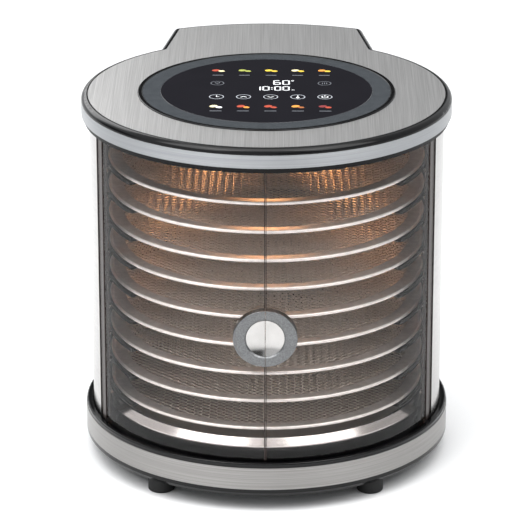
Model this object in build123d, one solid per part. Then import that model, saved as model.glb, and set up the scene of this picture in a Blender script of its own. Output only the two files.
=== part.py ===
from build123d import *
import math
import os

os.makedirs("parts", exist_ok=True)

# Driving dimensions in millimetres. Everything is worked out about the drum's axis, with Z = 0
# under the feet and the front at -Y, and is moved to the finished origin when it is written.

# Plan of the case: a round drum with a tapered air duct behind it
drum_r = 190.0
rear_r = 252.0
duct_half_width = 137.5
duct_taper = 8.73
corner_r = 8.0
junction_r = 2.0

# Base
foot_h = 15.0
foot_r = 13.5
skirt_top = 24.0
band_t = 0.8
deck_z = 46.0
band_top = 47.5
lip_z = 52.3
lip_inset = 7.0
plinth_r = 172.0
plinth_z = 62.5

# Head
head_z = 360.5
ceiling_t = 3.0
board_z = 372.0
lamp_r = 26.0
band_bottom = 365.8
rim_z = 379.5
rim_top = 385.6
rim_nose = 5.6
plate_inset = 6.9
plate_z = 385.8
plate_t = 1.0
panel_hole_r = 132.2
panel_r = 127.0
panel_z = 386.9
glass_panel_r = 108.5

# Doors
door_r = 182.0
door_t = 4.0
door_gap = 0.3
door_bottom = 53.3
door_top = 359.5
seal_w = 0.9
rail_az = (65.0, 67.2)
hinge_az = 68.3
hinge_r = 178.7
barrel_r = 3.6
pin_r = 1.8
pin_gap = 0.06

# Handle
handle_half_w = 32.2
handle_half_h = 29.7
handle_z = 187.8
handle_face = 191.0
dish_r = 19.2
dish_rim = 2.0
dish_depth = 6.0
bowl_r = 70.0

# Drying chamber
post_az = (70.2, 73.5)
jamb_x = 165.4
liner_r = 168.0
liner_t = 1.0
liner_az = 77.5
slot_w = 3.0
slot_h = 11.0
tray_count = 9
tray_r = 163.0
tray_pitch = 30.1
tray_top = 322.2
bead_r = 1.9
flange_r = 148.0
mesh_r = 151.0
mesh_t = 1.0
runner_az = (56.0, 118.0)
runner_r = 154.0
runner_t = 3.2
body_gap = 0.3

# Air duct
shell_inset = 7.7
shell_t = 0.8
fan_z = 205.0
fan_r = 60.0
shroud_y = 177.0
impeller_y = 189.0
impeller_d = 17.0
bracket_y = 210.0
motor_r = 31.0
motor_l = 26.0
shaft_r = 3.0
cover_half = 80.0
cover_z = (58.0, 352.0)
cover_edge = 14.0
cover_t = 2.6
shroud_t = 1.2

drum_y = (drum_r - rear_r) / 2


def at(radius, azimuth):
    """Point in plan at an azimuth in degrees from the front, positive to the right."""
    turn = math.radians(azimuth)
    return (radius * math.sin(turn), -radius * math.cos(turn))


def keyhole(inset):
    """Plan of the case moved in by inset: the drum's circle and the duct's tapered sides."""
    taper = math.radians(duct_taper)
    half_front = duct_half_width - inset / math.cos(taper)
    far = rear_r + 20.0
    half_far = half_front - far * math.tan(taper)
    corners = [(-half_front, 0), (half_front, 0), (half_far, far), (-half_far, far)]
    sides = make_face(Polyline(*corners, close=True))
    plan = Circle(drum_r - inset) + (sides & Circle(rear_r - inset))
    plan = fillet(plan.vertices().sort_by(Axis.Y)[-2:], max(corner_r - inset, 2.0))
    junctions = [v for v in plan.vertices() if 100 < v.Y < 175]
    return fillet(junctions, junction_r + inset)


def slab(inset, low, high):
    return Pos(0, 0, low) * extrude(keyhole(inset), high - low)


def wall(outer_inset, inner_inset, low, high):
    plan = keyhole(outer_inset) - keyhole(inner_inset)
    return Pos(0, 0, low) * extrude(plan, high - low)


def disc(radius, low, high):
    return Pos(0, 0, low) * extrude(Circle(radius), high - low)


def ring(outer, inner, low, high):
    return Pos(0, 0, low) * extrude(Circle(outer) - Circle(inner), high - low)


def wedge(az_from, az_to, low, high):
    """Prism that holds every point between two azimuths."""
    steps = max(2, math.ceil((az_to - az_from) / 30.0))
    turn = (az_to - az_from) / steps
    rim = [at(2 * rear_r, az_from + turn * i) for i in range(steps + 1)]
    return Pos(0, 0, low) * extrude(make_face(Polyline((0, 0), *rim, close=True)), high - low)


def arc_slab(outer, inner, az_from, az_to, low, high):
    return ring(outer, inner, low, high) & wedge(az_from, az_to, low, high)


def box(x_range, y_range, z_range):
    size = [high - low for low, high in (x_range, y_range, z_range)]
    middle = [(high + low) / 2 for low, high in (x_range, y_range, z_range)]
    return Pos(*middle) * Box(*size)


def rod(radius, start, end):
    """Round bar from one point to another, along an axis of the frame."""
    line = Vector(*end) - Vector(*start)
    plane = Plane(origin=start, z_dir=line)
    return extrude(plane * Circle(radius), line.length)


def turned(outline):
    """Solid turned about the drum's axis from (radius, z) points."""
    points = [(r, 0, z) for r, z in outline]
    return revolve(make_face(Polyline(*points, close=True)), Axis.Z)


def mirrored(solid):
    return mirror(solid, Plane.YZ)


def save(node, *solids):
    pieces = []
    for item in solids:
        pieces.extend(item.solids())
    moved = [Pos(0, drum_y, 0) * piece for piece in pieces]
    shape = moved[0] if len(moved) == 1 else Compound(children=moved)
    shape.label = node
    export_step(shape, "parts/" + node + ".step")


# Base

foot_places = [at(170.0, 39.0), at(170.0, -39.0), (82.0, 208.0), (-82.0, 208.0)]
cover_screw_places = [(150.0, 40.0), (-150.0, 40.0), (0.0, -166.0), (52.0, 229.0), (-52.0, 229.0)]
cover_low = foot_h + 0.3
cover_high = cover_low + 2.0
screw_r = 2.0


def base_moulding():
    skirt = slab(0, foot_h, skirt_top)
    skirt = chamfer(skirt.edges().group_by(Axis.Z)[0], 5.0)
    lip = wall(0.5, lip_inset, band_top, lip_z)
    lip = fillet(lip.edges().group_by(Axis.Z)[-1], 1.6)
    body = skirt + slab(band_t + 0.2, skirt_top, deck_z)
    body += wall(band_t + 0.2, lip_inset, deck_z, band_top) + lip
    body += disc(plinth_r, deck_z, plinth_z)
    body -= slab(5.0, foot_h - 1, deck_z - 3.5)
    body -= disc(plinth_r - 3.0, deck_z - 4, plinth_z - 3.0)
    for x, y in foot_places + cover_screw_places:
        body += Pos(x, y, cover_high) * extrude(Circle(6.0), deck_z - 2 - cover_high)
        body -= Pos(x, y, cover_high - 1) * extrude(Circle(screw_r), 16)
    for side in (-1, 1):
        x, y = at(hinge_r, side * hinge_az)
        body -= Pos(x, y, deck_z - 2.5) * extrude(Circle(pin_r), 6)
    return body - inlet_window()


def inlet_window():
    return box((-14.4, 14.4), (rear_r - 31, rear_r + 2), (skirt_top, deck_z - 1.3))


def base_band():
    return wall(0, band_t, skirt_top + 0.1, band_top - 0.1) - inlet_window()


def base_cover():
    plate = slab(5.3, cover_low, cover_high)
    for x, y in foot_places + cover_screw_places:
        plate -= Pos(x, y, foot_h) * extrude(Circle(screw_r + 0.3), 4)
    for i in range(-6, 7):
        slot = Pos(i * 9.0, 60.0, foot_h) * extrude(SlotOverall(46, 4, rotation=90), 4)
        plate -= slot
    return plate


def foot(x, y):
    tread = Pos(x, y, 0) * extrude(Circle(foot_r), cover_low)
    tread = chamfer(tread.edges().group_by(Axis.Z)[0], 1.0)
    tread -= Pos(x, y, -1) * extrude(Circle(4.6), 8)
    return tread - Pos(x, y, 0) * extrude(Circle(screw_r + 0.2), 20)


def screw(seat, direction):
    """Pan-head screw whose head bears on a seat, with its shank along a direction."""
    plane = Plane(origin=seat, z_dir=direction)
    head = extrude(plane * Circle(3.9), -2.6)
    shank = extrude(plane * Circle(screw_r), 16.0)
    drive = extrude(plane.offset(-2.6) * RegularPolygon(1.5, 6), 1.4)
    return head + shank - drive


def case_screws():
    screws = [screw((x, y, 7.0), (0, 0, 1)) for x, y in foot_places]
    screws += [screw((x, y, cover_low), (0, 0, 1)) for x, y in cover_screw_places]
    for azimuth, z in cover_screw_points():
        x, y = at(rear_r - shell_inset + 0.1 + cover_t, azimuth)
        screws.append(screw((x, y, z), (-x, -y, 0)))
    return screws


def floor_pan():
    """Bright stepped pan on the plinth, narrower where the liner stands round it."""
    top = plinth_z + 8.2
    low = plinth_z + 0.1
    outline = [(0, low), (171.5, low), (171.5, low + 1.4), (165.6, top), (162.8, top),
               (160.6, low + 1.6), (0, low + 1.6)]
    pan = turned(outline)
    pan &= box((-jamb_x + 0.3, jamb_x - 0.3), (-200, 200), (low - 1, top + 1))
    return pan - arc_slab(180, liner_r - 1.0, liner_az - 1.5, 361.5 - liner_az, low - 1, top + 1)


# Case and chamber

def rear_window():
    half = cover_half - cover_edge
    return box((-half, half), (rear_r - 40, rear_r), (cover_z[0] + cover_edge, cover_z[1] - cover_edge))


def cover_screw_points():
    """Azimuth and height of the screws round the rear cover."""
    tilt = math.degrees(math.asin((cover_half - cover_edge / 2) / rear_r))
    middle = (cover_z[0] + cover_z[1]) / 2
    heights = (cover_z[0] + cover_edge / 2, middle, cover_z[1] - cover_edge / 2)
    return [(180 + side * tilt, z) for side in (-1, 1) for z in heights]


def cover_screw_holes(radius):
    holes = []
    for azimuth, z in cover_screw_points():
        outside = at(rear_r + 5, azimuth)
        inside = at(rear_r - 25, azimuth)
        holes.append(rod(radius, (*inside, z), (*outside, z)))
    return holes


def rear_shell():
    shell = wall(shell_inset, shell_inset + shell_t, deck_z + 0.2, head_z - 0.2)
    shell -= wedge(-post_az[0] - 0.2, post_az[0] + 0.2, deck_z, head_z)
    return shell - rear_window() - cover_screw_holes(screw_r)


def rear_cover():
    """Louvred cover over the back of the duct."""
    inner = rear_r - shell_inset + 0.1
    plate = ring(inner + cover_t, inner, *cover_z)
    plate &= box((-cover_half, cover_half), (0, 300), cover_z)
    rows = 15
    pitch = 16.0
    for row in range(rows):
        z = (cover_z[0] + cover_z[1]) / 2 + (row - (rows - 1) / 2) * pitch
        for x in (-29.0, 29.0):
            plate -= box((x - 24, x + 24), (inner - 20, inner + 5), (z - 2.6, z + 2.6))
    return plate - cover_screw_holes(screw_r + 0.2)


def inner_liner():
    low = plinth_z + 0.1
    high = head_z - 0.1
    liner = arc_slab(liner_r + liner_t, liner_r, liner_az, 360 - liner_az, low, high)
    cuts = [rod(fan_r + 4, (0, liner_r - 40, fan_z), (0, liner_r + 10, fan_z))]
    for level in range(tray_count):
        z = tray_top - level * tray_pitch + tray_pitch / 2 - 2
        for step in range(12):
            for side in (-1, 1):
                azimuth = side * (84.0 + 8.0 * step)
                x, y = at(liner_r, azimuth)
                if math.hypot(x, z - fan_z) > fan_r + 14 or y < 0:
                    slot = Pos(x, y, z) * Rot(0, 0, azimuth) * Box(slot_w, 6, slot_h)
                    cuts.append(slot)
    return liner - cuts


def door_post():
    """Upright beside a door's hinge, with the jamb that runs back to the liner."""
    high = head_z - 0.2
    post = arc_slab(door_r - 0.7, 176.0, *post_az, deck_z + 0.2, high)
    jamb_back = at(liner_r, liner_az)[1] + 0.2
    return post + box((jamb_x, jamb_x + 1.8), (-62.0, jamb_back), (plinth_z + 0.2, high))


def bead_z(level):
    """Height of the middle of a tray's rolled edge."""
    return tray_top - level * tray_pitch - bead_r


def tray_runner(level):
    high = bead_z(level) - bead_r - body_gap
    low = high - runner_t
    front = arc_slab(jamb_x - 0.2, runner_r, runner_az[0], liner_az - 0.5, low, high)
    back = arc_slab(liner_r - 0.1, runner_r, liner_az - 1.0, runner_az[1], low, high)
    front &= box((0, jamb_x - 0.1), (-120, 60), (low, high))
    back &= box((0, liner_r), (at(liner_r, liner_az)[1] + 0.4, 200), (low, high))
    return front + back


def tray_frame(level):
    z = bead_z(level)
    bead = Pos(tray_r - bead_r, 0, z) * Rot(90, 0, 0) * Circle(bead_r)
    width = tray_r - bead_r - flange_r
    flange = Pos(flange_r + width / 2, 0, z) * Rot(90, 0, 0) * Rectangle(width, 1.0)
    return revolve(bead + flange, Axis.Z)


def tray_mesh(level):
    """Open floor of a tray: thin ribs one way, with a few across."""
    pitch_x = 12.0
    pitch_y = 36.0
    plan = Circle(mesh_r)
    cells = []
    for column in range(-12, 13):
        for row in range(-4, 5):
            cells.append(Pos(column * pitch_x, row * pitch_y) * Rectangle(pitch_x - 2.2, pitch_y - 2.2))
    open_area = Sketch() + cells
    plan -= open_area & Circle(mesh_r - 5.0)
    return Pos(0, 0, bead_z(level) - 0.5 - mesh_t) * extrude(plan, mesh_t)


# Doors, drawn for the right-hand side

def door_glass():
    start = math.degrees((door_gap + seal_w) / door_r)
    return arc_slab(door_r, door_r - door_t, start, rail_az[1] - 1.0, door_bottom, door_top)


def door_seal():
    start = math.degrees(door_gap / door_r)
    end = math.degrees((door_gap + seal_w) / door_r)
    return arc_slab(door_r, door_r - door_t, start, end, door_bottom, door_top)


def hinge_rail():
    """Channel on the glass edge, with the barrel that turns on the hinge pins."""
    outer = door_r + 0.8
    inner = door_r - door_t - 0.8
    rail = arc_slab(outer, inner, *rail_az, door_bottom, door_top)
    rail -= arc_slab(door_r + 0.05, door_r - door_t - 0.05, rail_az[0] - 1, rail_az[1] - 0.95,
                     door_bottom - 1, door_top + 1)
    web = arc_slab(hinge_r + 1.6, hinge_r - 1.6, rail_az[1] - 0.5, hinge_az, door_bottom, door_top)
    x, y = at(hinge_r, hinge_az)
    barrel = Pos(x, y, door_bottom) * extrude(Circle(barrel_r), door_top - door_bottom)
    hole = Circle(pin_r + pin_gap)
    rail = rail + web + barrel
    rail -= Pos(x, y, door_bottom - 1) * extrude(hole, 11)
    return rail - Pos(x, y, door_top - 10) * extrude(hole, 11)


def hinge_pins():
    pins = []
    for side in (-1, 1):
        x, y = at(hinge_r, side * hinge_az)
        pins.append(rod(pin_r, (x, y, deck_z - 2.5), (x, y, door_bottom + 9)))
        pins.append(rod(pin_r, (x, y, door_top - 9), (x, y, head_z + 2.5)))
    return pins


def front_disc(plan, y_from, y_to):
    """Plan in X and Z, carried along Y at the handle's height."""
    plane = Plane(origin=(0, y_from, handle_z), x_dir=(1, 0, 0), z_dir=(0, 1, 0))
    return extrude(plane * plan, y_to - y_from)


def right_half():
    return box((door_gap, 60), (-220, -150), (100, 280))


def handle_half():
    puck = front_disc(Ellipse(handle_half_w, handle_half_h), -handle_face, -160.0)
    puck = fillet(puck.edges().group_by(Axis.Y)[0], 0.8)
    puck -= disc(door_r + 0.05, 100, 300)
    recess = front_disc(Circle(dish_r), -handle_face - 1, -handle_face + dish_depth)
    puck -= recess
    bevel = Plane(origin=(0, -handle_face - 0.01, handle_z), z_dir=(0, 1, 0))
    puck -= extrude(bevel * Circle(dish_r + 1.3), 1.3, taper=45)
    return puck & right_half()


def handle_dish():
    """Shallow polished bowl set into the handle as a finger pull."""
    front = -handle_face + dish_rim
    back = -handle_face + dish_depth - 0.02
    blank = front_disc(Circle(dish_r - 0.05), front, back)
    bowl = Pos(0, back - 0.7 - bowl_r, handle_z) * Sphere(bowl_r)
    return (blank - bowl) & right_half()


# Head

def head_housing():
    """Moulding that closes the chamber from above and carries the controls."""
    body = slab(2.5, head_z, band_bottom) + slab(band_t + 0.2, band_bottom, rim_z - 0.1)
    body -= slab(5.0, head_z + ceiling_t, rim_z + 1)
    for x in (-60, 60):
        for y in (-45, 45):
            stand = box((x - 3, x + 3), (y - 3, y + 3), (head_z + ceiling_t - 0.5, board_z))
            body += stand
    for side in (-1, 1):
        x, y = at(hinge_r, side * hinge_az)
        body -= Pos(x, y, head_z - 1) * extrude(Circle(pin_r), 3.5)
    return body - Pos(0, -10, head_z - 1) * extrude(Circle(lamp_r + 0.2), 5)


def head_band():
    return wall(0, band_t, band_bottom + 0.1, rim_z - 0.1)


def head_rim():
    """Gloss rounded rim round the head, with a ledge that holds the top plate."""
    rim = slab(0, rim_z, rim_top)
    rim = fillet(rim.edges().group_by(Axis.Z)[-1], rim_nose)
    rim -= slab(plate_inset + 4.0, rim_z - 1, plate_z + 1)
    return rim - slab(plate_inset, plate_z - plate_t - 0.05, plate_z + 1)


def top_plate():
    plate = slab(plate_inset + 0.1, plate_z - plate_t, plate_z)
    return plate - disc(panel_hole_r, plate_z - 5, plate_z + 5)


def panel_trim():
    """Gloss bead round the control panel, flanged under the top plate."""
    under = plate_z - plate_t - 0.1
    bead = ring(panel_hole_r - 0.2, panel_r + 0.1, under - 2.5, panel_z)
    bead = fillet(bead.edges().group_by(Axis.Z)[-1], 0.9)
    return bead + ring(panel_hole_r + 4.5, panel_r - 6.0, under - 2.5, under - 1.3)


def panel_bezel():
    low = plate_z - plate_t - 1.35
    seat = panel_z - 1.6
    outline = [(glass_panel_r - 4, low), (panel_r, low), (panel_r, panel_z - 0.2),
               (glass_panel_r + 0.1, panel_z - 0.2), (glass_panel_r + 0.1, seat),
               (glass_panel_r - 4, seat)]
    return turned(outline)


def panel_glass():
    pane = disc(glass_panel_r, panel_z - 1.55, panel_z)
    return fillet(pane.edges().group_by(Axis.Z)[-1], 0.3)


def control_board():
    board = box((-75, 75), (-55, 55), (board_z, board_z + 1.6))
    for x in (-52, -24, 24, 52):
        board += box((x - 4.5, x + 4.5), (-34, -26), (board_z + 1.5, board_z + 6.5))
    return board


def display_module():
    low = board_z + 1.7
    return box((-16, 26), (22, 42), (low, low + 7))


def chamber_lamp():
    lens = Pos(0, -10, head_z - 1.5) * extrude(Circle(lamp_r), ceiling_t)
    lens = fillet(lens.edges().group_by(Axis.Z)[0], 1.2)
    return lens + Pos(0, -10, head_z + 1.4) * extrude(Circle(20.0), 5.0)


# Air duct and electrics

def fan_shroud():
    """Plate across the duct that the fan draws through, with its edges turned forward."""
    half = 101.0
    heights = (deck_z + 0.4, head_z - 0.4)
    plate = box((-half, half), (shroud_y, shroud_y + shroud_t), heights)
    for side in (-1, 1):
        low, high = sorted((side * half, side * (half - shroud_t)))
        plate += box((low, high), (shroud_y - 8, shroud_y + shroud_t), heights)
    return plate - rod(fan_r + 4, (0, shroud_y - 5, fan_z), (0, shroud_y + 5, fan_z))


def fan_guard():
    """Guard over the fan's opening: flat rings on radial spokes."""
    plan = Circle(fan_r + 7) - Circle(fan_r + 4)
    for i in range(5):
        plan += Circle(11 + 11 * i) - Circle(9.4 + 11 * i)
    for i in range(4):
        plan += Rot(0, 0, 45 * i) * (Rectangle(2 * fan_r + 10, 1.6) - Circle(9.5))
    plane = Plane(origin=(0, shroud_y - 2.2, fan_z), x_dir=(1, 0, 0), z_dir=(0, 1, 0))
    return extrude(plane * plan, 2.0)


def heater_element():
    """Sheathed heating ring ahead of the fan, with two tails to a flange on the shroud."""
    y = shroud_y + 6.5
    ring_r = 49.0
    element = Pos(0, y, fan_z) * Rot(90, 0, 0) * Torus(ring_r, 3.2)
    for x in (-9, 9):
        top = fan_z + math.sqrt(ring_r ** 2 - x ** 2)
        element += rod(2.4, (x, y, top), (x, y, fan_z + 84))
    return element + box((-16, 16), (shroud_y + shroud_t, y + 3), (fan_z + 76, fan_z + 80))


def fan_impeller():
    hub = rod(13.0, (0, impeller_y, fan_z), (0, impeller_y + impeller_d, fan_z))
    back = rod(fan_r, (0, impeller_y + impeller_d - 1.5, fan_z), (0, impeller_y + impeller_d, fan_z))
    wheel = hub + back
    for i in range(9):
        blade = box((11.0, fan_r - 1), (impeller_y, impeller_y + impeller_d - 1), (-0.9, 0.9))
        wheel += Pos(0, 0, fan_z) * Rot(0, 40.0 * i, 0) * blade
    bore = rod(shaft_r, (0, impeller_y + 3, fan_z), (0, impeller_y + impeller_d + 1, fan_z))
    return wheel - bore


def fan_shaft():
    return rod(shaft_r, (0, impeller_y + 3, fan_z), (0, bracket_y + 22, fan_z))


def motor_bracket():
    heights = (fan_z - 22, fan_z + 22)
    half = 95.0
    strap = box((-half, half), (bracket_y, bracket_y + 2), heights)
    for side in (-1, 1):
        low, high = sorted((side * half, side * (half - 2)))
        strap += box((low, high), (bracket_y - 12, bracket_y + 2), heights)
    strap += rod(motor_r, (0, bracket_y, fan_z), (0, bracket_y + 2, fan_z))
    return strap - rod(shaft_r + 2.5, (0, bracket_y - 5, fan_z), (0, bracket_y + 5, fan_z))


def fan_motor():
    start = bracket_y + 2
    can = rod(motor_r - 1, (0, start, fan_z), (0, start + motor_l, fan_z))
    can = fillet(can.edges().group_by(Axis.Y)[-1], 3.0)
    for turn in range(8):
        slot = box((motor_r - 12, motor_r - 5), (start + motor_l - 4, start + motor_l + 1), (-1.5, 1.5))
        can -= Pos(0, 0, fan_z) * Rot(0, 45.0 * turn, 0) * slot
    return can - rod(shaft_r + 0.05, (0, start - 1, fan_z), (0, bracket_y + 22.5, fan_z))


def thermal_cutout():
    y = shroud_y + 1.2
    body = rod(8.0, (72, y, fan_z + 68), (72, y + 7, fan_z + 68))
    tabs = box((68, 76), (y + 7, y + 14), (fan_z + 67.6, fan_z + 68.4))
    return body + tabs


def power_board():
    low = head_z + 3.0
    board = box((-60, 60), (168, 232), (low, low + 1.6))
    return board + box((-45, -10), (180, 215), (low + 1.5, low + 14))


def power_inlet():
    """Appliance inlet in the back of the base: a socket with three blades."""
    front = rear_r - 0.4
    shell = box((-14, 14), (front - 30, front), (24.3, 44.3))
    shell -= box((-12.2, 12.2), (front - 16.5, front + 1), (26.0, 42.6))
    blades = []
    for x, z in ((-7, 32.3), (0, 36.3), (7, 32.3)):
        blades.append(box((x - 1, x + 1), (front - 16.5, front - 3), (z - 2, z + 2)))
    return [shell] + blades


# Writing: every piece to its own file

save("base_moulding", base_moulding())
save("base_band", base_band())
save("base_cover", base_cover())
save("feet", *[foot(x, y) for x, y in foot_places])
save("case_screws", *case_screws())
save("floor_pan", floor_pan())
save("rear_shell", rear_shell())
save("rear_cover", rear_cover())
save("inner_liner", inner_liner())
save("door_posts", door_post(), mirrored(door_post()))
runners = [tray_runner(level) for level in range(tray_count)]
save("tray_runners", *runners, *[mirrored(runner) for runner in runners])
save("hinge_pins", *hinge_pins())
save("head_housing", head_housing())
save("head_band", head_band())
save("head_rim", head_rim())
save("top_plate", top_plate())
save("panel_trim", panel_trim())
save("panel_bezel", panel_bezel())
save("panel_glass", panel_glass())
save("control_board", control_board())
save("display_module", display_module())
save("chamber_lamp", chamber_lamp())
save("fan_shroud", fan_shroud())
save("fan_guard", fan_guard())
save("heater_element", heater_element())
save("fan_impeller", fan_impeller())
save("fan_shaft", fan_shaft())
save("motor_bracket", motor_bracket())
save("fan_motor", fan_motor())
save("thermal_cutout", thermal_cutout())
save("power_board", power_board())
save("power_inlet", *power_inlet())

right_leaf = {"door_glass": door_glass(), "hinge_rail": hinge_rail(), "door_seal": door_seal(),
              "handle_half": handle_half(), "handle_dish": handle_dish()}
for name, solid in right_leaf.items():
    save(name + "_right", solid)
    save(name + "_left", mirrored(solid))

first_frame = tray_frame(0)
first_mesh = tray_mesh(0)
for level in range(tray_count):
    drop = Pos(0, 0, -level * tray_pitch)
    save(f"tray_frame_{level + 1}", drop * first_frame)
    save(f"tray_mesh_{level + 1}", drop * first_mesh)
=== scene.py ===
import math

import bpy
import numpy as np
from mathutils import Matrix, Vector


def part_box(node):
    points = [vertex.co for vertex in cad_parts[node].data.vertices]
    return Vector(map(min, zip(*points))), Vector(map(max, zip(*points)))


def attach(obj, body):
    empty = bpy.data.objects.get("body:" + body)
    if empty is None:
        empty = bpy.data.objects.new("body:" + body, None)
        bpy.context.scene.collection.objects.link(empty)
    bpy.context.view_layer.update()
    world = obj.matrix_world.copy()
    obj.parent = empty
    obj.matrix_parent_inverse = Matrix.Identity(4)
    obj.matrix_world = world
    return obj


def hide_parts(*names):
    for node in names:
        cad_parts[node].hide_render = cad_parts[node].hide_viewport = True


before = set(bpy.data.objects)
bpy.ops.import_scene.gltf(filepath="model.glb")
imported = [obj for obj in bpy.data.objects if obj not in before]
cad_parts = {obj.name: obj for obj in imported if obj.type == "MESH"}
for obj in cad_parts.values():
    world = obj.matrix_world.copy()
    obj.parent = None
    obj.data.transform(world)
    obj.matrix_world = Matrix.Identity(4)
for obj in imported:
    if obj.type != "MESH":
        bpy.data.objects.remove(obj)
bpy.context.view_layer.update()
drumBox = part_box("panel_glass")
axisY = (drumBox[0][1] + drumBox[1][1]) / 2
glassTop = drumBox[1][2]
trayCount = 9
print("frame loaded")


# sRGB hex to linear: a straight toe, then a power of 2.4
def linear(hexCode):
    channels = [int(hexCode[i:i + 2], 16) / 255 for i in (0, 2, 4)]
    return [c / 12.92 if c <= 0.04045 else ((c + 0.055) / 1.055) ** 2.4 for c in channels] + [1.0]


# Adds a node with its settings, socket values and links
def addNode(tree, kind, settings=None, inputs=None, links=None):
    made = tree.nodes.new(kind)
    for name, value in (settings or {}).items():
        setattr(made, name, value)
    for name, value in (inputs or {}).items():
        made.inputs[name].default_value = value
    for name, source in (links or {}).items():
        tree.links.new(source, made.inputs[name])
    return made


def newMaterial(name, settings):
    material = bpy.data.materials.new(name)
    material.use_nodes = True
    shader = material.node_tree.nodes["Principled BSDF"]
    for key, value in settings.items():
        shader.inputs[key].default_value = linear(value) if isinstance(value, str) else value
    return material, material.node_tree, shader


# Bump from noise whose lumps measure sizeMm along X, Y and Z and stand heightMm high
def grainBump(tree, shader, sizeMm, strength, heightMm):
    place = addNode(tree, "ShaderNodeTexCoord")
    stretch = addNode(tree, "ShaderNodeMapping", inputs={"Scale": [1000 / size for size in sizeMm]},
                      links={"Vector": place.outputs["Object"]})
    noise = addNode(tree, "ShaderNodeTexNoise", inputs={"Scale": 1.0, "Detail": 3.0},
                    links={"Vector": stretch.outputs["Vector"]})
    bump = addNode(tree, "ShaderNodeBump", inputs={"Strength": strength, "Distance": heightMm / 1000},
                   links={"Height": noise.outputs["Fac"]})
    tree.links.new(bump.outputs["Normal"], shader.inputs["Normal"])
    return noise


# Base colour that drifts between two near shades with the noise
def tintBy(tree, shader, noise, colours):
    ramp = addNode(tree, "ShaderNodeValToRGB", links={"Fac": noise.outputs["Fac"]})
    for element, position, colour in zip(ramp.color_ramp.elements, (0.35, 0.65), colours):
        element.position = position
        element.color = linear(colour)
    tree.links.new(ramp.outputs["Color"], shader.inputs["Base Color"])


def paint(material, nodes):
    for name in nodes:
        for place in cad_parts[name].material_slots:
            place.material = material


def pair(name):
    return [name + "_left", name + "_right"]


# Bare metal; on a part brushed round the drum the highlight is drawn out across its level lines
def metal(name, look):
    made, tree, shader = newMaterial(name, {"Metallic": 1.0, "Roughness": look["roughness"]})
    noise = grainBump(tree, shader, look["grainMm"], look["bump"], look["heightMm"])
    tintBy(tree, shader, noise, look["colours"])
    if "brushedRound" in look:
        shader.inputs["Anisotropic"].default_value = look["brushedRound"]
        shader.inputs["Anisotropic Rotation"].default_value = 0.25
        around = addNode(tree, "ShaderNodeTangent", {"direction_type": "RADIAL", "axis": "Z"})
        tree.links.new(around.outputs["Tangent"], shader.inputs["Tangent"])
    paint(made, look["nodes"])
    return made


# Plastic, rubber, laminate or glass: its roughness drifts between two values with the noise
def moulding(name, look):
    made, tree, shader = newMaterial(name, look.get("sockets", {}))
    noise = grainBump(tree, shader, [look["grainMm"]] * 3, look["bump"], 0.2)
    tintBy(tree, shader, noise, look["colours"])
    low, high = look["roughness"]
    drift = addNode(tree, "ShaderNodeMapRange", inputs={"To Min": low, "To Max": high},
                    links={"Value": noise.outputs["Fac"]})
    tree.links.new(drift.outputs["Result"], shader.inputs["Roughness"])
    paint(made, look["nodes"])
    return made


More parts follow.
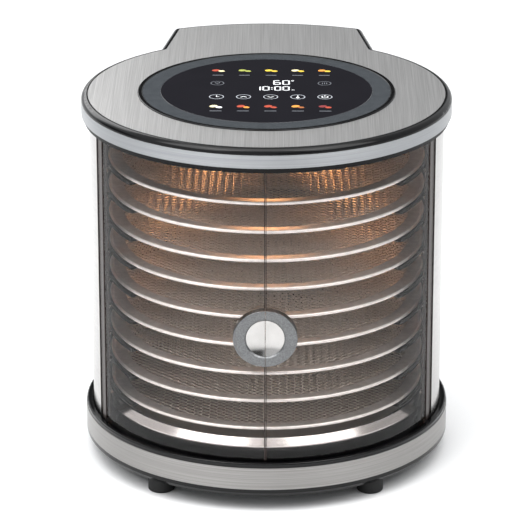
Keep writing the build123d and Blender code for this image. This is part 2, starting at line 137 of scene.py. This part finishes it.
metalFinishes = {
    # Steel sheet brushed front to back: fine straight lines under a soft glare
    "brushedSteelSheet": {"colours": ("b2b1b0", "cecdcc"), "roughness": 0.44, "grainMm": (0.385, 110, 110),
                          "bump": 0.4, "heightMm": 0.3, "nodes": ["top_plate"]},
    # Steel bands brushed along their length: level lines and an upright glare; the base band wears a darker,
    # a little warmer copy, painted shade for the shadowed floor it reflects
    "brushedSteelBand": {"colours": ("999b9e", "adafb1"), "roughness": 0.34, "grainMm": (165, 165, 0.385),
                         "bump": 0.2, "heightMm": 0.2, "brushedRound": 0.85, "nodes": ["head_band"]},
    # Darker copy of the band steel: painted shade for the dim reflection of the shadowed floor under the base
    "paintedShadeBaseSteel": {"colours": ("8b8987", "a19f9d"), "roughness": 0.34, "grainMm": (165, 165, 0.385),
                         "bump": 0.2, "heightMm": 0.2, "brushedRound": 0.85, "nodes": ["base_band"]},
    # Cold-rolled steel, polished: faint level waves in wide reflections; the floor pan and door posts wear a
    # brighter copy, painted light for the lit chamber
    "rolledShellSteel": {"colours": ("adabaa", "b7b5b3"), "roughness": 0.24, "grainMm": (70, 70, 3),
                         "bump": 0.05, "heightMm": 0.3, "nodes": ["rear_shell"]},
    # Brighter copy of the same sheet: painted light where the chamber lights the floor pan and door posts
    "paintedLightRolledSteel": {"colours": ("c3c0bf", "cfccca"), "roughness": 0.17, "grainMm": (70, 70, 3),
                          "bump": 0.06, "heightMm": 0.3, "nodes": ["floor_pan", "door_posts"]},
    # Electropolished steel rings: pale, with blurred highlights
    "polishedTraySteel": {"colours": ("e4e1df", "f2f0ee"), "roughness": 0.48, "grainMm": (8, 8, 8),
                          "bump": 0.05, "heightMm": 0.3,
                          "nodes": [f"tray_frame_{i + 1}" for i in range(trayCount)]},
    # Drawn steel wire: small pale glints, slightly yellow
    "wovenSteelWire": {"colours": ("cdc5bd", "e0d9d2"), "roughness": 0.38, "grainMm": (2.5, 2.5, 2.5),
                       "bump": 0.1, "heightMm": 0.2, "nodes": []},
    # Turned nickel: lathe marks drawn wider than real so that they show, in a grey satin shine
    "turnedSatinNickel": {"colours": ("68696a", "7e7f80"), "roughness": 0.36, "grainMm": (1.4, 33, 1.4),
                          "bump": 0.3, "heightMm": 0.2, "nodes": pair("handle_half")},
    # Buffed steel: almost a mirror
    "mirrorSteel": {"colours": ("b9b7b5", "c4c2c0"), "roughness": 0.12, "grainMm": (17, 17, 17),
                    "bump": 0.02, "heightMm": 0.2, "nodes": pair("handle_dish")},
    # Hot-dip zinc: dull, with cloudy spangle
    "galvanisedSheet": {"colours": ("8b9094", "a9aeb1"), "roughness": 0.45, "grainMm": (17, 17, 17),
                        "bump": 0.3, "heightMm": 0.4,
                        "nodes": ["fan_shroud", "fan_guard", "fan_impeller", "motor_bracket"]},
    # Turned and plated steel: small clean highlights
    "plainScrewSteel": {"colours": ("8f9092", "a2a3a5"), "roughness": 0.32, "grainMm": (2, 2, 2),
                        "bump": 0.1, "heightMm": 0.2, "nodes": ["case_screws", "hinge_pins", "fan_shaft"]},
    # Drawn sheath browned by its own heat: patchy and dull
    "heatDarkenedSheath": {"colours": ("3b332e", "5a4c44"), "roughness": 0.5, "grainMm": (5, 5, 5),
                           "bump": 0.3, "heightMm": 0.3, "nodes": ["heater_element"]},
    # Pressed steel cans under clear lacquer: mid grey, faintly mottled
    "lacqueredCan": {"colours": ("5b5d60", "6f7174"), "roughness": 0.42, "grainMm": (5, 5, 5),
                     "bump": 0.2, "heightMm": 0.3, "nodes": ["fan_motor", "thermal_cutout"]},
}
mouldedFinishes = {
    # Gloss ABS: deep black under a slightly wavy mirror
    "glossBlackMoulding": {"colours": ("050506", "070708"), "roughness": (0.13, 0.19), "grainMm": 9,
                           "bump": 0.03, "sockets": {"Specular IOR Level": 0.3},
                           "nodes": ["head_rim", "panel_trim", "base_moulding", "display_module"]},
    # Lacquered ABS ring: mid grey with a clear skin over it
    "glossGreyBezel": {"colours": ("404448", "464a4e"), "roughness": (0.13, 0.19), "grainMm": 9,
                       "bump": 0.02, "sockets": {"Coat Weight": 0.6, "Coat Roughness": 0.06},
                       "nodes": ["panel_bezel"]},
    # Float glass printed black on its back: flat and mirror-like, with a hint of violet
    "backPrintedGlass": {"colours": ("16151b", "18171d"), "roughness": (0.03, 0.08), "grainMm": 40,
                         "bump": 0.01, "sockets": {"IOR": 1.5, "Coat Weight": 0.4},
                         "nodes": ["panel_glass"]},
    # Spark-eroded PP: black with a fine even texture that kills reflections
    "satinBlackPlastic": {"colours": ("070708", "0b0b0c"), "roughness": (0.36, 0.48), "grainMm": 1.1,
                          "bump": 0.06, "sockets": {"Specular IOR Level": 0.2},
                          "nodes": ["head_housing", "base_cover", "rear_cover", "tray_runners",
                                    "power_inlet"]},
    # Moulded rubber: dull, with a mealy surface
    "feetRubber": {"colours": ("0b0b0b", "101010"), "roughness": (0.7, 0.8), "grainMm": 1.1, "bump": 0.25,
                   "nodes": ["feet"]},
    # Dark bronze coating on the hinge channels: brown-black with a metal glint
    "bronzeBlackTrim": {"colours": ("271d19", "2e221e"), "roughness": (0.24, 0.32), "grainMm": 1.1,
                        "bump": 0.04, "sockets": {"Metallic": 0.4}, "nodes": pair("hinge_rail")},
    # Silicone strip: soft brown-grey, no clear highlight
    "sealSilicone": {"colours": ("2d221d", "332722"), "roughness": (0.55, 0.65), "grainMm": 3, "bump": 0.05,
                     "nodes": pair("door_seal")},
    # Glass-fibre board under solder resist: green with a faint cloth pattern
    "circuitLaminate": {"colours": ("144428", "184e30"), "roughness": (0.35, 0.45), "grainMm": 1.1,
                        "bump": 0.1, "nodes": ["control_board", "power_board"]},
    # Frosted lens over a warm lamp: a plain glow
    "frostedLampLens": {"colours": ("fff0dc", "fff4e6"), "roughness": (0.35, 0.45), "grainMm": 2,
                        "bump": 0.05, "sockets": {"Emission Color": "ffb678", "Emission Strength": 18.0},
                        "nodes": ["chamber_lamp"]},
}
metals = {name: metal(name, look) for name, look in metalFinishes.items()}
for name, look in mouldedFinishes.items():
    moulding(name, look)

# Punched liner sheet: warm steel with rows of small holes coloured dark, painted shade for the gap behind
# them, at the pitches along its arc and height
liner = {"pitchMm": 6.0, "radiusMm": 168.0, "sheet": "eae2de", "hole": "1b1614", "roughness": 0.45}


# A point is in a hole where sin(azimuth times n) times sin(z times k) is above a threshold
def punchedLiner():
    made, tree, shader = newMaterial("punchedLinerSteel", {"Metallic": 0.75, "Roughness": liner["roughness"]})
    place = addNode(tree, "ShaderNodeTexCoord")
    parts = addNode(tree, "ShaderNodeSeparateXYZ", links={"Vector": place.outputs["Object"]})
    depth = addNode(tree, "ShaderNodeMath", {"operation": "SUBTRACT"}, {1: axisY}, {0: parts.outputs["Y"]})
    azimuth = addNode(tree, "ShaderNodeMath", {"operation": "ARCTAN2"},
                      links={0: parts.outputs["X"], 1: depth.outputs[0]})
    perRadian = 2 * math.pi * liner["radiusMm"] / liner["pitchMm"]
    perMetre = 2 * math.pi * 1000 / liner["pitchMm"]
    waves = []
    for source, rate in ((azimuth.outputs[0], perRadian), (parts.outputs["Z"], perMetre)):
        scaled = addNode(tree, "ShaderNodeMath", {"operation": "MULTIPLY"}, {1: rate}, {0: source})
        waves.append(addNode(tree, "ShaderNodeMath", {"operation": "SINE"}, links={0: scaled.outputs[0]}))
    both = addNode(tree, "ShaderNodeMath", {"operation": "MULTIPLY"},
                   links={0: waves[0].outputs[0], 1: waves[1].outputs[0]})
    ramp = addNode(tree, "ShaderNodeValToRGB", links={"Fac": both.outputs[0]})
    # The hole colour is painted shade, standing in for the darkness seen through each perforation
    for element, position, colour in zip(ramp.color_ramp.elements, (0.42, 0.5), ("sheet", "hole")):
        element.position = position
        element.color = linear(liner[colour])
    tree.links.new(ramp.outputs["Color"], shader.inputs["Base Color"])
    paint(made, ["inner_liner"])


# Tempered clear glass: sees through, with a mirror's share by Fresnel on its outward faces only
doorSheet = {"through": "fdfbfa", "mirror": "b8b8b8", "roughness": 0.03, "ior": 1.5}


def clearGlass():
    made = bpy.data.materials.new("temperedClearGlass")
    made.use_nodes = True
    tree = made.node_tree
    tree.nodes.clear()
    through = addNode(tree, "ShaderNodeBsdfTransparent", inputs={"Color": linear(doorSheet["through"])})
    shine = addNode(tree, "ShaderNodeBsdfGlossy", inputs={"Color": linear(doorSheet["mirror"]),
                                                          "Roughness": doorSheet["roughness"]})
    edge = addNode(tree, "ShaderNodeFresnel", inputs={"IOR": doorSheet["ior"]})
    side = addNode(tree, "ShaderNodeNewGeometry")
    front = addNode(tree, "ShaderNodeMath", {"operation": "SUBTRACT"}, {0: 1.0},
                    {1: side.outputs["Backfacing"]})
    share = addNode(tree, "ShaderNodeMath", {"operation": "MULTIPLY"},
                    links={0: edge.outputs[0], 1: front.outputs[0]})
    mix = addNode(tree, "ShaderNodeMixShader", links={0: share.outputs[0], 1: through.outputs[0],
                                                      2: shine.outputs[0]})
    addNode(tree, "ShaderNodeOutputMaterial", links={"Surface": mix.outputs[0]})
    paint(made, pair("door_glass"))


punchedLiner()
clearGlass()
print("materials on the frame")


def meshObject(name, points, faces, material):
    mesh = bpy.data.meshes.new(name)
    mesh.from_pydata([tuple(p) for p in points], [], [tuple(f) for f in faces])
    mesh.update()
    mesh.materials.append(material)
    made = bpy.data.objects.new(name, mesh)
    bpy.context.scene.collection.objects.link(made)
    return made


# Woven floor of a tray, in metres
weave = {"pitch": 0.0056, "wireR": 0.00045, "radius": 0.1495, "sides": 4, "rise": 0.95, "turnDegrees": 45}


# Each wire is a ring carried along a line, lifted and lowered by turns by rise times its own radius,
# from one edge of the circle to the other. Wires cross every pitch, and the whole weave is turned.
def wovenFloor(tray):
    low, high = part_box(f"tray_mesh_{tray}")
    pitch, wireR, sides = weave["pitch"], weave["wireR"], weave["sides"]
    reach = int(weave["radius"] / pitch)
    angles = np.arange(sides) * 2 * math.pi / sides
    points = []
    faces = []
    start = 0
    for along in (0, 1):
        for line in range(-reach, reach + 1):
            offset = line * pitch
            half = math.sqrt(max(weave["radius"] ** 2 - offset ** 2, 0))
            count = int(half / pitch)
            if count < 1:
                continue
            steps = np.arange(-count, count + 1)
            lift = np.where((steps + line + along) % 2 == 0, 1.0, -1.0) * wireR * weave["rise"]
            ring = np.zeros((len(steps), sides, 3))
            ring[:, :, along] = (steps * pitch)[:, None]
            ring[:, :, 1 - along] = offset + wireR * np.cos(angles)[None, :]
            ring[:, :, 2] = lift[:, None] + wireR * np.sin(angles)[None, :]
            points.append(ring.reshape(-1, 3))
            first = start + np.arange(len(steps) - 1)[:, None] * sides
            turn = np.arange(sides)[None, :]
            nextTurn = (turn + 1) % sides
            quads = np.stack([first + turn, first + nextTurn, first + nextTurn + sides,
                              first + turn + sides], -1).reshape(-1, 4)
            nearEnd = tuple(range(start, start + sides))
            farEnd = tuple(range(start + sides * (len(steps) - 1), start + sides * len(steps)))
            # The two directions wind opposite ways, so each turns its own faces outwards
            if along == 1:
                nearEnd = nearEnd[::-1]
            else:
                quads = quads[:, ::-1]
                farEnd = farEnd[::-1]
            faces += quads.tolist() + [nearEnd, farEnd]
            start += len(ring) * sides
    cloud = np.concatenate(points)
    turnBy = math.radians(weave["turnDegrees"])
    cosTurn, sinTurn = math.cos(turnBy), math.sin(turnBy)
    cloud[:, :2] = cloud[:, :2] @ np.array([[cosTurn, sinTurn], [-sinTurn, cosTurn]])
    cloud += np.array([0, axisY, (low[2] + high[2]) / 2])
    made = meshObject(f"wovenFloor{tray}", cloud, faces, metals["wovenSteelWire"])
    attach(made, f"tray_{tray}")
    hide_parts(f"tray_mesh_{tray}")


for tray in range(1, trayCount + 1):
    wovenFloor(tray)
print("woven trays")

# Printed panel: flat ink strokes a hair above the glass, in millimetres from the drum's axis
ink = {"white": "f2f4f6", "soft": "a4a8ae", "dim": "63666c", "red": "a8412b", "cream": "e8dcae",
       "olive": "9aa04a", "yellow": "d8b83c", "orange": "d98e3a", "brown": "9a5a2c", "plum": "7a2a2c"}
panel = {"middle": 4.4, "gap": 27.6, "sideRow": 23.6, "keyRow": -23.0, "keyRadius": 7.2, "line": 0.9,
         "labelLine": 1.7, "digitLine": 1.5, "lift": 0.03, "roughness": 0.4, "glow": 0.35}
# Two rows of food icons, each made of two leaning discs over a plain bar where a label would stand
foodRows = [
    {"discX": (-2.6, 3.4), "discY": (68.5, 66.0), "radius": (4.0, 3.4), "stretch": (0.8, 0.75),
     "lean": (20, -15), "barY": 51.3, "barWidth": 11,
     "inks": (("red", "cream"), ("olive", "olive"), ("yellow", "yellow"), ("cream", "yellow"),
              ("orange", "yellow"))},
    {"discX": (-2.4, 3.2), "discY": (-54.5, -58.0), "radius": (4.4, 3.4), "stretch": (0.8, 0.8),
     "lean": (35, -25), "barY": -70.2, "barWidth": 12,
     "inks": (("cream", "white"), ("red", "orange"), ("red", "red"), ("orange", "brown"), ("plum", "red"))},
]
# Display digits: lit segments, centre x and y, width and height
digits = [("acdefg", 10.6, 26.0, 6.2, 13.5), ("abcdef", 20.0, 26.0, 6.2, 13.5),
          ("bc", -9.0, 5.6, 5.0, 12.5), ("abcdef", -0.6, 5.6, 5.6, 12.5),
          ("abcdef", 11.4, 5.6, 5.6, 12.5), ("abcdef", 20.0, 5.6, 5.6, 12.5)]
inkShapes = {name: [] for name in ink}


def inkPolygon(colour, outline):
    inkShapes[colour].append([tuple(p) for p in outline])


# Rectangle about a centre, turned by degrees
def inkBar(colour, x, y, width, height, turn=0.0):
    c, s = math.cos(math.radians(turn)), math.sin(math.radians(turn))
    corners = [(-1, -1), (1, -1), (1, 1), (-1, 1)]
    inkPolygon(colour, [(x + (i * width * c - j * height * s) / 2, y + (i * width * s + j * height * c) / 2)
                        for i, j in corners])


# Stroke between two radii, from one angle to the other, in steps of about 12 degrees
def inkArc(colour, x, y, radius, stroke, fromDeg=0.0, toDeg=360.0):
    count = max(6, int(abs(toDeg - fromDeg) / 12))
    turns = np.radians(np.linspace(fromDeg, toDeg, count + 1))
    inner, outer = radius - stroke / 2, radius + stroke / 2
    for a, b in zip(turns[:-1], turns[1:]):
        corners = [(inner, a), (outer, a), (outer, b), (inner, b)]
        inkPolygon(colour, [(x + r * math.cos(t), y + r * math.sin(t)) for r, t in corners])


# Ellipse of 18 sides, its second radius stretched, then turned by degrees
def inkDisc(colour, x, y, radius, stretch=1.0, turn=0.0):
    c, s = math.cos(math.radians(turn)), math.sin(math.radians(turn))
    rim = [(radius * math.cos(t), radius * stretch * math.sin(t))
           for t in np.linspace(0, 2 * math.pi, 19)[:-1]]
    inkPolygon(colour, [(x + i * c - j * s, y + i * s + j * c) for i, j in rim])


# Each segment sits at a share of half the digit's width and height, level or upright
segments = {"a": (0, 1, True), "b": (1, 0.5, False), "c": (1, -0.5, False), "d": (0, -1, True),
            "e": (-1, -0.5, False), "f": (-1, 0.5, False), "g": (0, 0, True)}


def sevenSegment(lit, x, y, width, height):
    line = panel["digitLine"]
    for key in lit:
        across, up, isLevel = segments[key]
        size = (width - line, line) if isLevel else (line, height / 2 - line * 0.4)
        inkBar("white", x + across * width / 2, y + up * height / 2, *size)


columns = [panel["middle"] + panel["gap"] * k for k in range(-2, 3)]
timer, raiseKey, lowerKey, heatKey, powerKey = columns
line = panel["line"]
keyRow = panel["keyRow"]
sideRow = panel["sideRow"]
for row in foodRows:
    for x, pairOfInks in zip(columns, row["inks"]):
        for k, colour in enumerate(pairOfInks):
            inkDisc(colour, x + row["discX"][k], row["discY"][k], row["radius"][k], row["stretch"][k],
                    row["lean"][k])
        inkBar("dim", x, row["barY"], row["barWidth"], panel["labelLine"])
# Side keys: a lamp on the left and three warm bars on the right, dim because they are off
for x in (timer, powerKey):
    inkArc("dim", x, sideRow, 6.6, 0.8)
inkArc("dim", timer, sideRow + 1.4, 2.3, 0.7)
inkBar("dim", timer, sideRow - 2.8, 2.4, 0.8)
for k in (-1, 0, 1):
    inkBar("dim", powerKey + 2.2 * k, sideRow, 0.8, 5.2)
# Key row: clock hands, a chevron up, a chevron down, a thermometer and a power sign
for x in columns:
    inkArc("soft", x, keyRow, panel["keyRadius"], line)
inkBar("white", timer, keyRow + 2.1, line, 4.6)
inkBar("white", timer + 1.4, keyRow, 3.2, line)
for side in (-1, 1):
    inkBar("white", raiseKey + side * 1.5, keyRow, 4.4, 1.0, -45 * side)
    inkBar("white", lowerKey + side * 1.5, keyRow - 0.4, 4.4, 1.0, 45 * side)
inkBar("white", heatKey, keyRow + 1.4, 1.1, 6.0)
inkDisc("white", heatKey, keyRow - 2.4, 1.9)
inkArc("white", powerKey, keyRow, 3.2, line, 120, 420)
inkBar("white", powerKey, keyRow + 3.2, line, 3.6)
# Display: degrees over hours and minutes, with a colon, a degree ring and a unit bar
for lit, x, y, width, height in digits:
    sevenSegment(lit, x, y, width, height)
for y in (3.0, 8.4):
    inkDisc("white", 5.4, y, 0.9)
inkArc("white", 26.6, 32.0, 1.2, 0.7)
inkBar("white", 27.2, 0.6, 3.0, 1.0)

for name, outlines in inkShapes.items():
    if not outlines:
        continue
    # Backlit screen ink: flat colour with a low glow
    inkMaterial = newMaterial("panelInk" + name.capitalize(), {
        "Base Color": ink[name], "Roughness": panel["roughness"], "Emission Color": ink[name],
        "Emission Strength": panel["glow"]})[0]
    points = []
    faces = []
    # The signed area tells which way an outline runs, so that every face looks up
    for outline in outlines:
        area = sum(a[0] * b[1] - b[0] * a[1] for a, b in zip(outline, outline[1:] + outline[:1]))
        ordered = outline if area > 0 else outline[::-1]
        faces.append(range(len(points), len(points) + len(ordered)))
        points += [(x / 1000, axisY + y / 1000, glassTop + panel["lift"] / 1000) for x, y in ordered]
    printed = meshObject("panelPrint" + name.capitalize(), points, faces, inkMaterial)
    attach(printed, "case")
print("panel print")

# Studio: a pale floor, soft boxes aimed at the drum by azimuth from the front, and a bright room
studio = {"floorHalf": 14.0, "floorDrop": 0.0002, "aimHeight": 0.2, "roomColour": "eef0f2",
          "roomLeft": 1.1, "roomRight": 0.65, "roomEdge": 0.8}
softboxes = {
    "overheadBox": {"azimuth": 0, "elevation": 82, "distance": 2.8, "size": (2.6, 2.6), "watts": 52},
    "backLeftBox": {"azimuth": -142, "elevation": 36, "distance": 1.25, "size": (0.9, 0.7), "watts": 4.5},
    "leftBox": {"azimuth": -50, "elevation": 50, "distance": 2.7, "size": (1.7, 1.7), "watts": 32},
    "rightBox": {"azimuth": 52, "elevation": 50, "distance": 2.7, "size": (1.7, 1.7), "watts": 26},
}
# Soft dark gaps between the walls of the room: inner and outer are their radii in degrees
roomGaps = [
    {"azimuth": 184, "elevation": 19, "inner": 8, "outer": 17, "depth": 0.06},
    {"azimuth": 18, "elevation": 4, "inner": 12, "outer": 20, "depth": 0.1},
    {"azimuth": -104, "elevation": 4, "inner": 12, "outer": 24, "depth": 0.15},
]
# Warm strips behind the door posts, as the lit chamber of such a dryer glows from its sides
glowStrips = {"width": 0.008, "height": 0.29, "watts": 4.0, "colour": "ffd9bf", "outward": 0.1705,
              "forward": 0.048, "middle": 0.21, "turn": 0.5}
front = {"lens": 232.6, "sensor": 36.0, "shift": -0.01135, "across": 0.0235, "back": 3.3638,
         "height": 1.4403, "downDegrees": 20.318, "turnDegrees": 0.4, "farClip": 40.0}

half = studio["floorHalf"]
drop = -studio["floorDrop"]
floorPaint = newMaterial("paleStudioPaint", {"Base Color": "f4f4f4", "Roughness": 0.9})[0]
floor = meshObject("studioFloor", [(-half, -half, drop), (half, -half, drop), (half, half, drop),
                                   (-half, half, drop)], [(0, 1, 2, 3)], floorPaint)


def areaLamp(name, size, watts, colour, location, rotation):
    lamp = bpy.data.lights.new(name, "AREA")
    lamp.shape = "RECTANGLE"
    lamp.size, lamp.size_y = size
    lamp.energy = watts
    lamp.color = linear(colour)[:3]
    made = bpy.data.objects.new(name, lamp)
    made.location = location
    made.rotation_euler = rotation
    bpy.context.scene.collection.objects.link(made)


# Unit vector toward an azimuth from the front and an elevation
def toward(azimuth, elevation):
    az, el = math.radians(azimuth), math.radians(elevation)
    return (math.sin(az) * math.cos(el), -math.cos(az) * math.cos(el), math.sin(el))


for name, box in softboxes.items():
    x, y, z = [box["distance"] * v for v in toward(box["azimuth"], box["elevation"])]
    turn = (math.radians(90 - box["elevation"]), 0, math.radians(box["azimuth"]))
    areaLamp(name, box["size"], box["watts"], "ffffff", (x, y, z + studio["aimHeight"]), turn)
for side in (-1, 1):
    spot = (side * glowStrips["outward"], axisY - glowStrips["forward"], glowStrips["middle"])
    areaLamp("glowStrip", (glowStrips["width"], glowStrips["height"]), glowStrips["watts"],
             glowStrips["colour"], spot, (math.pi / 2, 0, side * glowStrips["turn"]))

# Room light: it falls from left to right, and round each gap from cos(inner) to cos(outer)
world = bpy.data.worlds.new("studioAir")
world.use_nodes = True
air = world.node_tree
sky = addNode(air, "ShaderNodeTexCoord")
split = addNode(air, "ShaderNodeSeparateXYZ", links={"Vector": sky.outputs["Generated"]})
sideways = addNode(air, "ShaderNodeMapRange", inputs={"From Min": -studio["roomEdge"],
                                                      "From Max": studio["roomEdge"],
                                                      "To Min": studio["roomLeft"],
                                                      "To Max": studio["roomRight"]},
                   links={"Value": split.outputs["X"]})
strength = sideways.outputs["Result"]
for gap in roomGaps:
    dot = addNode(air, "ShaderNodeVectorMath", {"operation": "DOT_PRODUCT"},
                  {1: toward(gap["azimuth"], gap["elevation"])}, {0: sky.outputs["Generated"]})
    edges = [math.cos(math.radians(gap[key])) for key in ("outer", "inner")]
    fade = addNode(air, "ShaderNodeMapRange", {"interpolation_type": "SMOOTHSTEP"},
                   {"From Min": edges[0], "From Max": edges[1], "To Min": 1.0, "To Max": gap["depth"]},
                   {"Value": dot.outputs["Value"]})
    strength = addNode(air, "ShaderNodeMath", {"operation": "MULTIPLY"},
                       links={0: strength, 1: fade.outputs["Result"]}).outputs[0]
background = air.nodes["Background"]
background.inputs["Color"].default_value = linear(studio["roomColour"])
air.links.new(strength, background.inputs["Strength"])
bpy.context.scene.world = world
bpy.context.scene.view_settings.view_transform = "Standard"
print("studio lit")

camera = bpy.data.cameras.new("frontCamera")
camera.lens = front["lens"]
camera.sensor_width = front["sensor"]
camera.clip_end = front["farClip"]
camera.shift_x = front["shift"]
cameraObject = bpy.data.objects.new("frontCamera", camera)
cameraObject.location = (front["across"], axisY - front["back"], front["height"])
cameraObject.rotation_euler = (math.radians(90 - front["downDegrees"]), 0, math.radians(front["turnDegrees"]))
bpy.context.scene.collection.objects.link(cameraObject)
bpy.context.scene.camera = cameraObject
print("camera set")
